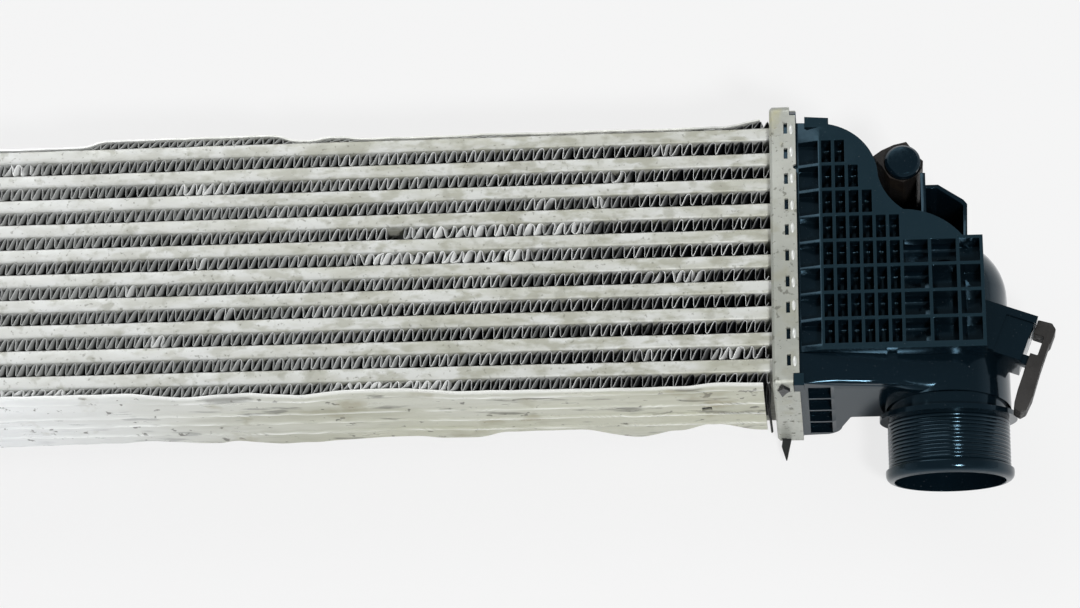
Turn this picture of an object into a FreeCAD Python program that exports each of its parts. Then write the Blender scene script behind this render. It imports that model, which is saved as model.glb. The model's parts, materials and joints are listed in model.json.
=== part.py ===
import FreeCAD, Part
import math
import os

import Sketcher
from FreeCAD import Placement, Rotation, Vector

# A charge air cooler: ten flat tubes between two crimped header trays, with corrugated air fins
# between the tubes, a side plate on each long side and a moulded plastic tank on each end.
# The frame lies flat: X runs along the tubes, Y across the rows, Z through the core's depth.
# The right tank is the one with the mounting peg and the mounting lug.

SIZES = {
    # core
    "core_length": 612.0,
    "core_depth": 70.0,
    "core_bottom": 6.0,
    "tube_count": 10,
    "tube_pitch": 14.5,
    "tube_height": 7.5,
    "tube_wall": 0.5,
    "tube_nose": 2.0,
    "tube_entry": 4.0,
    "fin_thickness": 0.9,
    "fin_wave_count": 10,
    "fin_end_gap": 1.0,
    "inner_fin_waves": 3,
    "inner_fin_thickness": 0.45,
    # side plates
    "plate_thickness": 1.5,
    "plate_end_gap": 5.0,
    "plate_rib_height": 1.1,
    "plate_rib_width": 3.0,
    "plate_slot_length": 4.6,
    "plate_slot_height": 1.8,
    "plate_slot_from_end": 25.0,
    "plate_slot_level": 46.0,
    # header trays
    "header_width": 13.6,
    "header_margin": 3.5,
    "header_sheet": 1.8,
    "header_corner": 5.0,
    "header_bend": 1.4,
    "nick_radius": 1.5,
    "crimp_slot_width": 2.0,
    "crimp_slot_length": 6.2,
    "crimp_slot_line": 8.4,
    "end_slot_pitch": 17.5,
    "fit_gap": 0.3,
    # gaskets
    "gasket_thickness": 2.6,
    "gasket_width": 3.2,
    "tab_thickness": 1.8,
    "tab_reach": 11.5,
    # tanks
    "tank_wall": 3.0,
    "rib_top": 83.0,
    "rib_thickness": 1.7,
    "cell_depth": 11.5,
    "cell_floor": 2.6,
    "narrow_pitch": 6.8,
    "wide_pitch": 14.2,
    "panel_depth": 8.0,
    "end_cell_depth": 3.5,
    "block_bottom": 9.5,
    "duct_radius": 32.0,
    "duct_wall": 2.4,
    "duct_height": 41.0,
    "duct_out": 88.5,
    "duct_top_end": -18.0,
    # hose spigots
    "spigot_dip": 10.0,
    "spigot_reach": 2.5,
    "spigot_length": 34.0,
    "spigot_radius": 31.1,
    "spigot_bore": 28.4,
    "flange_radius": 35.1,
    "flange_thickness": 2.6,
    "bead_radius": 32.6,
    "bead_length": 5.6,
    "ring_depth": 0.6,
    # mounting peg and bracket of the right tank
    "peg_radius": 9.2,
    "peg_top": 78.5,
    "bush_bottom": 34.0,
    "bush_top": 74.5,
    "shelf_bottom": 31.0,
    "bracket_top": 76.0,
    "bracket_wall": 2.0,
    # mounting lug of the right tank
    "lug_bottom": 48.0,
    "lug_top": 71.0,
    "lug_angle": -21.0,
    "lug_width": 16.5,
    "lug_length": 25.0,
    "tongue_length": 22.0,
    "isolator_bottom": 58.0,
    "isolator_top": 68.0,
}

doc = FreeCAD.newDocument("charge_air_cooler")
sheet = doc.addObject("Spreadsheet::Sheet", "Sizes")
for row, (alias, number) in enumerate(SIZES.items(), start=1):
    sheet.set("A%d" % row, alias)
    sheet.set("B%d" % row, str(number))
    sheet.setAlias("B%d" % row, alias)
doc.recompute()


def size(alias):
    return float(sheet.get(alias))


core_half = size("core_length") / 2
tube_count = int(size("tube_count"))
row_gap = size("tube_pitch") - size("tube_height")
core_middle = size("core_bottom") + size("core_depth") / 2
core_top = size("core_bottom") + size("core_depth")
outer_row_edge = (tube_count - 1) * size("tube_pitch") / 2 + size("tube_height") / 2 + row_gap
header_half = outer_row_edge + size("header_margin")
header_depth = core_top + size("core_bottom")
header_middle = header_depth / 2
sheet_wall = size("header_sheet")
fit_gap = size("fit_gap")
foot_start = sheet_wall + size("gasket_thickness")
nodes = []

# Tank clips at the tray's corners, and the gasket's two dart tabs
clip_bite = 2.8
clip_depth = 8.0
clip_end = header_half - 6.7
nick_across = header_half - 36.5
tab_start = 2.6
tab_half = size("tab_thickness") / 2
tab_heights = (6.4, core_top)


def tube_y(index):
    return (index - (tube_count - 1) / 2) * size("tube_pitch")


# Sketch and feature helpers

def new_body(label):
    body = doc.addObject("PartDesign::Body", label)
    body.Label = label
    nodes.append(body)
    return body


def new_sketch(body, name, role, offset):
    sketch = body.newObject("Sketcher::SketchObject", name)
    plane = [item for item in body.Origin.OriginFeatures if item.Role == role][0]
    sketch.AttachmentSupport = [(plane, "")]
    sketch.MapMode = "FlatFace"
    sketch.AttachmentOffset = Placement(Vector(0, 0, offset), Rotation())
    return sketch


def bound_rectangle(sketch, left, bottom, width, height):
    # Each of the four arguments is an expression in the named sizes.
    values = [float(sheet.evalExpression(text)) for text in (left, bottom, width, height)]
    x0, y0, w, h = values
    corners = [Vector(x0, y0), Vector(x0 + w, y0), Vector(x0 + w, y0 + h), Vector(x0, y0 + h)]
    first = sketch.GeometryCount
    for index in range(4):
        sketch.addGeometry(Part.LineSegment(corners[index], corners[(index + 1) % 4]), False)
    for index in range(4):
        follower = first + (index + 1) % 4
        sketch.addConstraint(Sketcher.Constraint("Coincident", first + index, 2, follower, 1))
    sketch.addConstraint(Sketcher.Constraint("Horizontal", first))
    sketch.addConstraint(Sketcher.Constraint("Horizontal", first + 2))
    sketch.addConstraint(Sketcher.Constraint("Vertical", first + 1))
    sketch.addConstraint(Sketcher.Constraint("Vertical", first + 3))
    rules = [
        (Sketcher.Constraint("DistanceX", -1, 1, first, 1, x0), left),
        (Sketcher.Constraint("DistanceY", -1, 1, first, 1, y0), bottom),
        (Sketcher.Constraint("DistanceX", first, 1, first, 2, w), width),
        (Sketcher.Constraint("DistanceY", first + 1, 1, first + 1, 2, h), height),
    ]
    for constraint, text in rules:
        index = sketch.addConstraint(constraint)
        sketch.setExpression("Constraints[%d]" % index, text)


def bound_circle(sketch, x, y, radius):
    # Centre as numbers, radius as an expression in the named sizes.
    value = float(sheet.evalExpression(radius))
    first = sketch.GeometryCount
    sketch.addGeometry(Part.Circle(Vector(x, y), Vector(0, 0, 1), value), False)
    sketch.addConstraint(Sketcher.Constraint("DistanceX", -1, 1, first, 3, x))
    sketch.addConstraint(Sketcher.Constraint("DistanceY", -1, 1, first, 3, y))
    index = sketch.addConstraint(Sketcher.Constraint("Radius", first, value))
    sketch.setExpression("Constraints[%d]" % index, radius)


def draw(sketch, corners):
    # A closed outline. A corner is (x, y), or (x, y, mx, my) where an arc through (mx, my)
    # leads to the next corner.
    edges = []
    for index, corner in enumerate(corners):
        follower = corners[(index + 1) % len(corners)]
        start = Vector(corner[0], corner[1])
        end = Vector(follower[0], follower[1])
        if len(corner) == 4:
            edges.append(Part.Arc(start, Vector(corner[2], corner[3]), end))
        else:
            edges.append(Part.LineSegment(start, end))
    sketch.addGeometry(edges, False)


def round_rectangle(sketch, half_x, half_y, middle_y, radius):
    # Rounded rectangle about the point (0, middle_y).
    bend = radius * (1 - math.sqrt(0.5))
    low = middle_y - half_y
    high = middle_y + half_y
    draw(sketch, [
        (-half_x + radius, low),
        (half_x - radius, low, half_x - bend, low + bend),
        (half_x, low + radius),
        (half_x, high - radius, half_x - bend, high - bend),
        (half_x - radius, high),
        (-half_x + radius, high, -half_x + bend, high - bend),
        (-half_x, high - radius),
        (-half_x, low + radius, -half_x + bend, low + bend),
    ])


def cut_rectangle(sketch, half_x, half_y, middle_y, cut):
    # The same rectangle with its corners cut straight.
    low = middle_y - half_y
    high = middle_y + half_y
    draw(sketch, [
        (-half_x + cut, low), (half_x - cut, low), (half_x, low + cut), (half_x, high - cut),
        (half_x - cut, high), (-half_x + cut, high), (-half_x, high - cut), (-half_x, low + cut),
    ])


def pad(body, sketch, length, reverse=False):
    feature = body.newObject("PartDesign::Pad", sketch.Name + "_pad")
    feature.Profile = sketch
    feature.setExpression("Length", length)
    feature.Reversed = reverse
    doc.recompute()
    return feature


def pocket(body, sketch, length, reverse=False, middle=False):
    before = body.Shape.Volume
    feature = body.newObject("PartDesign::Pocket", sketch.Name + "_pocket")
    feature.Profile = sketch
    feature.setExpression("Length", length)
    feature.Reversed = reverse
    feature.Midplane = middle
    doc.recompute()
    if feature.Shape.Volume >= before - 0.01:
        raise RuntimeError("%s cuts nothing" % feature.Name)
    return feature


def turn(body, kind, sketch):
    # A turned shape about the sketch's own construction line.
    before = body.Shape.Volume if body.Tip else 0
    feature = body.newObject("PartDesign::" + kind, sketch.Name + "_turn")
    feature.Profile = sketch
    feature.ReferenceAxis = (sketch, ["Axis0"])
    feature.Angle = 360
    doc.recompute()
    if kind == "Groove" and feature.Shape.Volume >= before - 0.01:
        raise RuntimeError("%s cuts nothing" % feature.Name)
    return feature


def repeat(body, feature, axis_role, pitch, count, reverse=False):
    # Equal copies of a feature along one of the body's own axes.
    pattern = body.newObject("PartDesign::LinearPattern", feature.Name + "_row")
    pattern.Originals = [feature]
    axis = [item for item in body.Origin.OriginFeatures if item.Role == axis_role][0]
    pattern.Direction = (axis, [""])
    pattern.Reversed = reverse
    pattern.setExpression("Length", "(%s - 1) * %s" % (count, pitch))
    pattern.setExpression("Occurrences", count)
    body.Tip = pattern
    doc.recompute()
    return pattern


def add_shape(label, shape):
    feature = doc.addObject("Part::Feature", label)
    feature.Label = label
    feature.Shape = shape
    nodes.append(feature)
    return feature


# Flat tubes: drawn section with bevelled noses, bored out by the wall

def tube_section(y, inset):
    half = size("tube_height") / 2 - inset
    nose = size("tube_nose") - inset * (2 - math.sqrt(2))
    low = size("core_bottom") + inset
    high = core_top - inset
    return [
        (y - half + nose, low), (y + half - nose, low), (y + half, low + nose), (y + half, high - nose),
        (y + half - nose, high), (y - half + nose, high), (y - half, high - nose), (y - half, low + nose),
    ]


def make_tube(index):
    body = new_body("tube_%02d" % (index + 1))
    y = tube_y(index)
    start = -core_half - size("tube_entry")
    for name, inset, add in (("skin", 0.0, True), ("bore", size("tube_wall"), False)):
        sketch = new_sketch(body, body.Name + "_" + name, "YZ_Plane", start)
        draw(sketch, tube_section(y, inset))
        length = "Sizes.core_length + 2 * Sizes.tube_entry"
        if add:
            pad(body, sketch, length)
        else:
            pocket(body, sketch, length, reverse=True)


# Corrugated strips: a wave drawn in the plane across its folds, then pulled along them

def wave_face(start, length, low, high, waves, thickness):
    # The strip is the band between the wave and the same wave moved down by its thickness.
    step = length / (2 * waves)
    upper = []
    for fold in range(2 * waves + 1):
        level = high if fold % 2 else low + thickness
        upper.append((start + fold * step, level))
    lower = [(x, y - thickness) for x, y in reversed(upper)]
    return upper + lower


def make_air_fin(index):
    low = tube_y(index) - size("tube_height") / 2 - row_gap
    start = -core_half + size("fin_end_gap")
    length = size("core_length") - 2 * size("fin_end_gap")
    waves = int(size("fin_wave_count"))
    band = wave_face(start, length, low, low + row_gap, waves, size("fin_thickness"))
    points = [Vector(x, y, size("core_bottom")) for x, y in band]
    strip = Part.Face(Part.makePolygon(points + points[:1]))
    strip = strip.extrude(Vector(0, 0, size("core_depth")))
    if index == tube_count:
        strip = strip.cut(lean_space(row_gap))
    add_shape("air_fin_%02d" % (index + 1), strip)


def make_inner_fin(index):
    y = tube_y(index)
    inner_half = size("tube_height") / 2 - size("tube_wall")
    low = size("core_bottom") + size("tube_nose") + size("tube_wall")
    across = size("core_depth") - 2 * (size("tube_nose") + size("tube_wall"))
    waves = int(size("inner_fin_waves"))
    band = wave_face(low, across, y - inner_half, y + inner_half, waves, size("inner_fin_thickness"))
    points = [Vector(-core_half, level, z) for z, level in band]
    strip = Part.Face(Part.makePolygon(points + points[:1]))
    add_shape("turbulator_%02d" % (index + 1), strip.extrude(Vector(size("core_length"), 0, 0)))


# The far side plate has been knocked in along its upper edge and has crushed the row behind it.

lean_start = 58.0
lean_edge = 1.3


def lean_line(distance):
    # Corners of the bent upper part of the far plate's inner face.
    foot = outer_row_edge + distance
    edge = outer_row_edge - row_gap + lean_edge + distance
    return (foot, lean_start), (edge, core_top - 1.0)


def lean_space(gap):
    (foot, z_foot), (edge, z_edge) = lean_line(0.0)
    points = [Vector(-core_half, foot, z_foot), Vector(-core_half, edge, z_edge)]
    points += [Vector(-core_half, edge, core_top + 5.0), Vector(-core_half, foot + gap, core_top + 5.0)]
    points += [Vector(-core_half, foot + gap, z_foot)]
    face = Part.Face(Part.makePolygon(points + points[:1]))
    return face.extrude(Vector(size("core_length"), 0, 0))


plate_low = size("core_bottom") + 3.0
near_rib_heights = (70.0, 53.5, 40.5, 26.5)


def make_near_plate():
    body = new_body("near_side_plate")
    sketch = new_sketch(body, "near_plate_outline", "XZ_Plane", outer_row_edge)
    half = core_half - size("plate_end_gap")
    # The lower edge is knocked into a slow wave along its length.
    draw(sketch, [
        (-half, core_top),
        (-half, plate_low),
        (half - 330, plate_low),
        (half - 215, plate_low + 1.5, half - 160, plate_low + 7.0),
        (half - 100, plate_low + 4.0, half - 70, plate_low + 1.0),
        (half - 45, plate_low + 3.0, half - 30, plate_low + 8.0),
        (half - 12, plate_low + 3.0),
        (half, plate_low + 1.0),
        (half, core_top),
    ])
    pad(body, sketch, "Sizes.plate_thickness")
    ribs = new_sketch(body, "near_plate_ribs", "XZ_Plane", outer_row_edge + size("plate_thickness"))
    rib_half = size("plate_rib_width") / 2
    for z in near_rib_heights:
        draw(ribs, [(-half, z - rib_half), (half, z - rib_half), (half, z + rib_half), (-half, z + rib_half)])
    pad(body, ribs, "Sizes.plate_rib_height")
    slot = new_sketch(body, "near_plate_slot", "XZ_Plane", outer_row_edge + size("plate_thickness"))
    left = "Sizes.core_length / 2 - Sizes.plate_end_gap - Sizes.plate_slot_from_end"
    level = "Sizes.plate_slot_level"
    bound_rectangle(slot, left, level, "Sizes.plate_slot_length", "Sizes.plate_slot_height")
    pocket(body, slot, "2 * Sizes.plate_thickness")


def make_far_plate():
    body = new_body("far_side_plate")
    start = -core_half + size("plate_end_gap")
    sketch = new_sketch(body, "far_plate_section", "YZ_Plane", start)
    (foot, z_foot), (edge, z_edge) = lean_line(0.0)
    wall = size("plate_thickness")
    draw(sketch, [
        (foot, plate_low),
        (foot + wall, plate_low),
        (foot + wall, z_foot),
        (edge + wall, z_edge),
        (edge, z_edge),
        (foot, z_foot),
    ])
    pad(body, sketch, "Sizes.core_length - 2 * Sizes.plate_end_gap")


# Header trays: a folded pan with a slot for each tube and a pierced wall that is crimped

def make_header(label, side):
    body = new_body(label)
    reverse = side < 0
    face = side * core_half
    outline = new_sketch(body, label + "_outline", "YZ_Plane", face)
    middle = header_middle
    round_rectangle(outline, header_half, middle, middle, size("header_corner"))
    block = pad(body, outline, "Sizes.header_width", reverse)
    rim = []
    for index, edge in enumerate(block.Shape.Edges, start=1):
        flat = abs(edge.BoundBox.XMin - face) < 0.001 and abs(edge.BoundBox.XMax - face) < 0.001
        if flat:
            rim.append("Edge%d" % index)
    bend = body.newObject("PartDesign::Chamfer", label + "_bend")
    bend.Base = (block, rim)
    bend.setExpression("Size", "Sizes.header_bend")
    doc.recompute()
    inside = new_sketch(body, label + "_inside", "YZ_Plane", face + side * size("header_width"))
    round_rectangle(inside, header_half - sheet_wall, middle - sheet_wall, middle,
                    size("header_corner") - sheet_wall)
    pocket(body, inside, "Sizes.header_width - Sizes.header_sheet", reverse)
    entry = new_sketch(body, label + "_tube_entry", "YZ_Plane", face + side * sheet_wall)
    y = tube_y(0)
    draw(entry, tube_section(y, 0.0))
    first = pocket(body, entry, "Sizes.header_sheet", reverse)
    repeat(body, first, "Y_Axis", "Sizes.tube_pitch", "Sizes.tube_count")
    crimp = new_sketch(body, label + "_crimp_slot", "XY_Plane", header_depth)
    slot_middle = side * (core_half + size("crimp_slot_line"))
    half_width = size("crimp_slot_width") / 2
    half_length = size("crimp_slot_length") / 2
    draw(crimp, [
        (slot_middle - half_width, y - half_length),
        (slot_middle + half_width, y - half_length),
        (slot_middle + half_width, y + half_length),
        (slot_middle - half_width, y + half_length),
    ])
    slot = pocket(body, crimp, "2 * Sizes.header_sheet")
    repeat(body, slot, "Y_Axis", "Sizes.tube_pitch", "Sizes.tube_count")
    ends = new_sketch(body, label + "_end_slot", "XZ_Plane", header_half)
    z = middle - 1.5 * size("end_slot_pitch")
    draw(ends, [
        (slot_middle - half_width, z - half_width),
        (slot_middle + half_width, z - half_width),
        (slot_middle + half_width, z + half_width),
        (slot_middle - half_width, z + half_width),
    ])
    end_slot = pocket(body, ends, "2 * Sizes.header_sheet")
    repeat(body, end_slot, "Z_Axis", "Sizes.end_slot_pitch", "4")
    clip = new_sketch(body, label + "_clip_notch", "XY_Plane", header_depth)
    inner = size("header_width") - clip_bite - fit_gap
    outer = size("header_width") + 1
    for low_y, high_y in ((-header_half - 1, fit_gap - clip_end), (clip_end, header_half + 1)):
        draw(clip, place(side, [(inner, low_y), (outer, low_y), (outer, high_y), (inner, high_y)]))
    # A small round nick marks the pan's edge.
    bound_circle(clip, side * (core_half + size("header_width")), nick_across, "Sizes.nick_radius")
    pocket(body, clip, "%.3f" % (clip_depth + fit_gap))
    holes = new_sketch(body, label + "_tab_holes", "XZ_Plane", header_half)
    for z in tab_heights:
        draw(holes, place(side, [
            (tab_start - fit_gap, z - tab_half - fit_gap), (foot_start + fit_gap, z - tab_half - fit_gap),
            (foot_start + fit_gap, z + tab_half + fit_gap), (tab_start - fit_gap, z + tab_half + fit_gap),
        ]))
    pocket(body, holes, "2 * Sizes.header_sheet")


# Gaskets: a flat ring under the tank's foot with two dart tabs that pull it through the tray

def make_gasket(label, side):
    body = new_body(label)
    middle = header_middle
    ring = new_sketch(body, label + "_ring", "YZ_Plane", side * (core_half + sheet_wall))
    outer_y = header_half - sheet_wall - fit_gap
    outer_z = middle - sheet_wall - fit_gap
    cut = size("header_corner") - sheet_wall
    cut_rectangle(ring, outer_y, outer_z, middle, cut)
    width = size("gasket_width")
    cut_rectangle(ring, outer_y - width, outer_z - width, middle, cut - 2)
    pad(body, ring, "Sizes.gasket_thickness", side < 0)
    # The lower dart lies flat and points away; the upper one stands flat against the pan's end.
    wall = -header_half - fit_gap
    root = 0.5 - outer_y
    tip = wall - size("tab_reach")
    for z in tab_heights:
        stem = new_sketch(body, "%s_stem_%d" % (label, z), "XY_Plane", z - tab_half)
        corners = [(tab_start, root), (foot_start, root), (foot_start, wall), (tab_start, wall)]
        draw(stem, place(side, corners))
        pad(body, stem, "Sizes.tab_thickness")
    lower, upper = tab_heights
    dart = new_sketch(body, label + "_lower_dart", "XY_Plane", lower - tab_half)
    draw(dart, place(side, [
        (tab_start, wall), (7.2, wall), (6.4, wall - 4.0), (4.8, tip), (4.2, tip), (2.0, wall - 4.0),
    ]))
    pad(body, dart, "Sizes.tab_thickness")
    head = new_sketch(body, label + "_upper_dart", "XZ_Plane", -wall)
    draw(head, place(side, [
        (4.6, upper - 4.5), (7.0, upper + 1.0), (8.8, upper + 3.5), (5.5, upper + 8.0), (2.9, upper + 4.0),
    ]))
    pad(body, head, "Sizes.tab_thickness")


# Tanks. Local distances run outwards from the header's core side face.

# The grid's cross ribs stand over the middles of the fin rows.

body_start = size("header_width") + fit_gap
near_face = 2.5 - header_half
grid_edge = 19.1 - header_half
panel_end = 26.0
narrow_cells = 6
columns_in_row = (3, 4, 5, 7, 10, 10, 10, 10)
row_lines = [tube_y(tube_count - 1 - row) - size("tube_pitch") / 2 for row in range(tube_count - 1)]
column_lines = [panel_end + size("narrow_pitch") * column for column in range(narrow_cells + 1)]
column_lines += [column_lines[-1] + size("wide_pitch") * column for column in (1, 2)]
column_lines += [column_lines[-1] + 12.0]
block_end = column_lines[-1] + size("rib_thickness") / 2
spigot_root = -header_half - size("spigot_reach")
duct_near_end = spigot_root + 2.0
spigot_start = -7.0
bore_start = -8.0
bead_land = 2.2
mouth_lip = 1.2
panel_start = 15.0
end_cells = 4
end_cell_low = 8.5
end_cell_pitch = 16.4
end_cell_height = 14.8
end_cell_sides = (17.5, 29.0)
tab_sides = (18.4, 30.8)


def tank_outline(inset):
    # The block's plan: a round shoulder, a hollow bend and a second round shoulder.
    # The second number counts down from the header's far end.
    edge = header_half - inset
    return [
        (body_start, edge - 10.3),
        (30.8, edge - 13.1, 48.3 - inset * 0.7, edge - 23.6 + inset * 0.3),
        (55.8 - inset, edge - 43.5 + inset, 60.0 - inset, edge - 54.1 + inset * 0.5),
        (68.4 - inset, edge - 63.1, 84.5 - inset * 0.6, edge - 67.3),
        (97.8 - inset, edge - 78.6),
        (block_end - inset, edge - 78.6),
        (block_end - inset, grid_edge + inset),
        (body_start, grid_edge + inset),
    ]


def place(side, points):
    # Local distances to the frame, on the right or the left end.
    placed = []
    for point in points:
        numbers = list(point)
        for index in range(0, len(numbers), 2):
            numbers[index] = side * (core_half + numbers[index])
        placed.append(tuple(numbers))
    return placed


def spigot_point(along, radius):
    # A point of the spigot's section, in the upright plane through its axis: (Y, Z).
    dip = math.radians(size("spigot_dip"))
    y = spigot_root - along * math.cos(dip) - radius * math.sin(dip)
    z = size("duct_height") - along * math.sin(dip) + radius * math.cos(dip)
    return (y, z)


def axis_line(sketch, start, end):
    line = Part.LineSegment(Vector(*start), Vector(*end))
    sketch.addGeometry(line, True)


def add_cells(body, label, side, plain):
    top = size("rib_top")
    half = size("rib_thickness") / 2
    cells = new_sketch(body, label + "_cells", "XY_Plane", top)
    panels = new_sketch(body, label + "_panels", "XY_Plane", top)
    for row, count in enumerate(columns_in_row):
        high = row_lines[row] - half
        low = row_lines[row + 1] + half
        panel = [(panel_start, low), (panel_end - half, low), (panel_end - half, high), (panel_start, high)]
        draw(panels, place(side, panel))
        step = narrow_cells if plain else 1
        for column in range(0, count - 1, step):
            last = min(column + step, count - 1)
            left = column_lines[column] + half
            right = column_lines[last] - half
            draw(cells, place(side, [(left, low), (right, low), (right, high), (left, high)]))
    pocket(body, panels, "Sizes.panel_depth")
    pocket(body, cells, "Sizes.cell_depth")


def add_spigot(body, label, side):
    middle = side * (core_half + size("duct_out"))
    sketch = new_sketch(body, label + "_spigot", "YZ_Plane", middle)
    axis_line(sketch, spigot_point(spigot_start, 0), spigot_point(size("spigot_length"), 0))
    radius = size("spigot_radius")
    flange = size("flange_thickness")
    length = size("spigot_length")
    root = radius - size("ring_depth")
    bead = length - size("bead_length")
    profile = [(spigot_start, 0.0), (spigot_start, root), (0.0, root), (0.0, size("flange_radius")),
               (flange, size("flange_radius")), (flange, root), (bead, root), (bead, size("bead_radius")),
               (bead + bead_land, size("bead_radius")), (length, size("spigot_bore") + mouth_lip), (length, 0.0)]
    draw(sketch, [spigot_point(along, out) for along, out in profile])
    turn(body, "Revolution", sketch)


def add_duct(body, label, side):
    # A round duct along Y that ends in a stepped dome.
    out = size("duct_out")
    top = size("duct_top_end")
    radius = size("duct_radius")
    sketch = new_sketch(body, label, "XY_Plane", size("duct_height"))
    middle = side * (core_half + out)
    axis_line(sketch, (middle, top + radius), (middle, duct_near_end))
    dome = [(radius * math.cos(angle), radius * math.sin(angle)) for angle in (0, math.pi / 4)]
    corners = [(out, duct_near_end), (out + radius, duct_near_end)]
    corners += [(out + x, top + y) for x, y in dome] + [(out, top + radius)]
    draw(sketch, place(side, corners))
    turn(body, "Revolution", sketch)


def add_duct_bore(body, label, side):
    # The duct is bored with a flat end; the spigot's own bore opens into it.
    middle = side * (core_half + size("duct_out"))
    bore = new_sketch(body, label + "_duct_bore", "XZ_Plane", -duct_near_end)
    bound_circle(bore, middle, size("duct_height"), "Sizes.duct_radius - Sizes.duct_wall")
    pocket(body, bore, "%.3f" % (size("duct_top_end") + 10.0 - duct_near_end))
    mouth = new_sketch(body, label + "_spigot_bore", "YZ_Plane", middle)
    axis_line(mouth, spigot_point(bore_start, 0), spigot_point(size("spigot_length"), 0))
    radius = size("spigot_bore")
    end = size("spigot_length") + 1
    corners = [(bore_start, 0.0), (bore_start, radius), (end, radius), (end, 0.0)]
    draw(mouth, [spigot_point(along, out) for along, out in corners])
    turn(body, "Groove", mouth)


def make_tank(label, side, mounted):
    body = new_body(label)
    reverse = side < 0
    middle = header_middle
    foot = new_sketch(body, label + "_foot", "YZ_Plane", side * (core_half + foot_start))
    foot_y = header_half - sheet_wall - fit_gap
    foot_z = middle - sheet_wall - fit_gap
    cut_rectangle(foot, foot_y, foot_z, middle, size("header_corner") - sheet_wall)
    pad(body, foot, "%.3f" % (body_start - foot_start), reverse)
    block = new_sketch(body, label + "_block", "XY_Plane", size("block_bottom"))
    draw(block, place(side, tank_outline(0.0)))
    pad(body, block, "Sizes.rib_top - Sizes.block_bottom")
    shoulder = new_sketch(body, label + "_shoulder", "XZ_Plane", 0)
    draw(shoulder, place(side, [
        (body_start - 1, size("rib_top") - 3.6),
        (panel_end, size("rib_top")),
        (panel_end, size("rib_top") + 1),
        (body_start - 1, size("rib_top") + 1),
    ]))
    pocket(body, shoulder, "%.3f" % (4 * header_half), middle=True)
    add_cells(body, label, side, not mounted)
    band = new_sketch(body, label + "_band", "XZ_Plane", -grid_edge)
    draw(band, place(side, [
        (body_start, 5.0),
        (27.0, 6.0, 32.0, 10.0),
        (34.0, 16.0),
        (39.0, 31.0),
        (70.0, 31.0),
        (80.0, 71.0),
        (62.0, 75.0),
        (body_start, 79.0),
    ]))
    pad(body, band, "%.3f" % (grid_edge - near_face))
    ends = new_sketch(body, label + "_end_cells", "XZ_Plane", -near_face)
    left, right = end_cell_sides
    for number in range(end_cells):
        low = end_cell_low + number * end_cell_pitch
        high = low + end_cell_height
        draw(ends, place(side, [(left, low), (right, low), (right, high), (left, high)]))
    pocket(body, ends, "Sizes.end_cell_depth")
    clip = new_sketch(body, label + "_clip", "XY_Plane", header_depth - clip_depth)
    start = size("header_width") - clip_bite
    end = body_start + 1.9
    draw(clip, place(side, [(start, -header_half), (end, -header_half), (end, -clip_end), (start, -clip_end)]))
    pad(body, clip, "%.3f" % (clip_depth + 0.6))
    tab = new_sketch(body, label + "_tab", "XY_Plane", size("rib_top") - 5)
    high = header_half - 8.5
    left, right = tab_sides
    draw(tab, place(side, [(left, high - 6), (right, high - 6), (right, high - 1), (left, high)]))
    pad(body, tab, "5")
    add_duct(body, label + "_duct", side)
    add_spigot(body, label, side)
    if mounted:
        add_bracket(body, side)
        add_lug(body, side)
    ceiling = size("rib_top") - size("cell_depth") - size("cell_floor")
    cavity = new_sketch(body, label + "_cavity", "XY_Plane", ceiling)
    draw(cavity, place(side, tank_outline(size("tank_wall"))))
    pocket(body, cavity, "%.3f" % (ceiling - size("tank_wall") - size("block_bottom")))
    mouth = new_sketch(body, label + "_foot_mouth", "YZ_Plane", side * (core_half + body_start + 2.0))
    low = size("core_bottom") + 2.0
    near = 8.0 - header_half
    far = header_half - 13.3
    draw(mouth, [(near, low), (far, low), (far, core_top - 2), (near, core_top - 2)])
    pocket(body, mouth, "%.3f" % (body_start + 2.0 - foot_start), reverse)
    add_duct_bore(body, label, side)


peg_x = 68.8
peg_y = header_half - 33.0


def peg_point(out, across):
    # Distances from the peg's middle.
    return (peg_x + out, peg_y + across)


def add_bracket(body, side):
    # A shelf, an upright wall and an open box carry the mounting peg behind the tank.
    shelf = new_sketch(body, "peg_shelf", "XY_Plane", size("shelf_bottom"))
    draw(shelf, place(side, [peg_point(*pair) for pair in (
        (-18.8, -2.5), (-12.8, 5.5), (1.2, 12.0), (11.4, 0.5), (11.4, -13.5), (17.8, -13.5), (30.6, -22.5),
        (32.4, -25.0), (31.6, -48.5), (11.2, -41.5), (-8.8, -36.5))]))
    pad(body, shelf, "%.3f" % (size("bush_bottom") - size("shelf_bottom")))
    walls = new_sketch(body, "peg_walls", "XY_Plane", size("shelf_bottom"))
    wall = size("bracket_wall")
    draw(walls, place(side, [peg_point(*pair) for pair in (
        (8.8, -38.5), (8.8, -6.5), (11.4, -6.5), (11.4, -13.5), (17.8, -13.5), (30.6, -22.5),
        (32.4, -25.0), (31.6, -48.5), (31.6 - wall, -48.5), (32.4 - wall, -25.9),
        (30.0 - 0.5 * wall, -22.5 - 0.9 * wall), (17.2, -13.5 - wall), (11.4, -13.5 - wall), (11.4, -38.5))]))
    pad(body, walls, "Sizes.bracket_top - Sizes.shelf_bottom")
    peg = new_sketch(body, "peg_outline", "XZ_Plane", -peg_y)
    middle = core_half + peg_x
    axis_line(peg, (middle, 0), (middle, header_depth))
    radius = size("peg_radius")
    top = size("peg_top")
    draw(peg, [
        (middle, size("shelf_bottom")),
        (middle + radius, size("shelf_bottom")),
        (middle + radius, top - 1.5),
        (middle + radius - 1.5, top),
        (middle, top),
    ])
    turn(body, "Revolution", peg)


def lug_point(along, across):
    # The lug's own directions: along its far edge, and across it towards the spigot.
    angle = math.radians(size("lug_angle"))
    x = block_end + 10.5 + along * math.cos(angle) + across * math.sin(angle)
    y = grid_edge + 26.4 + along * math.sin(angle) - across * math.cos(angle)
    return (x, y)


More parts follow.
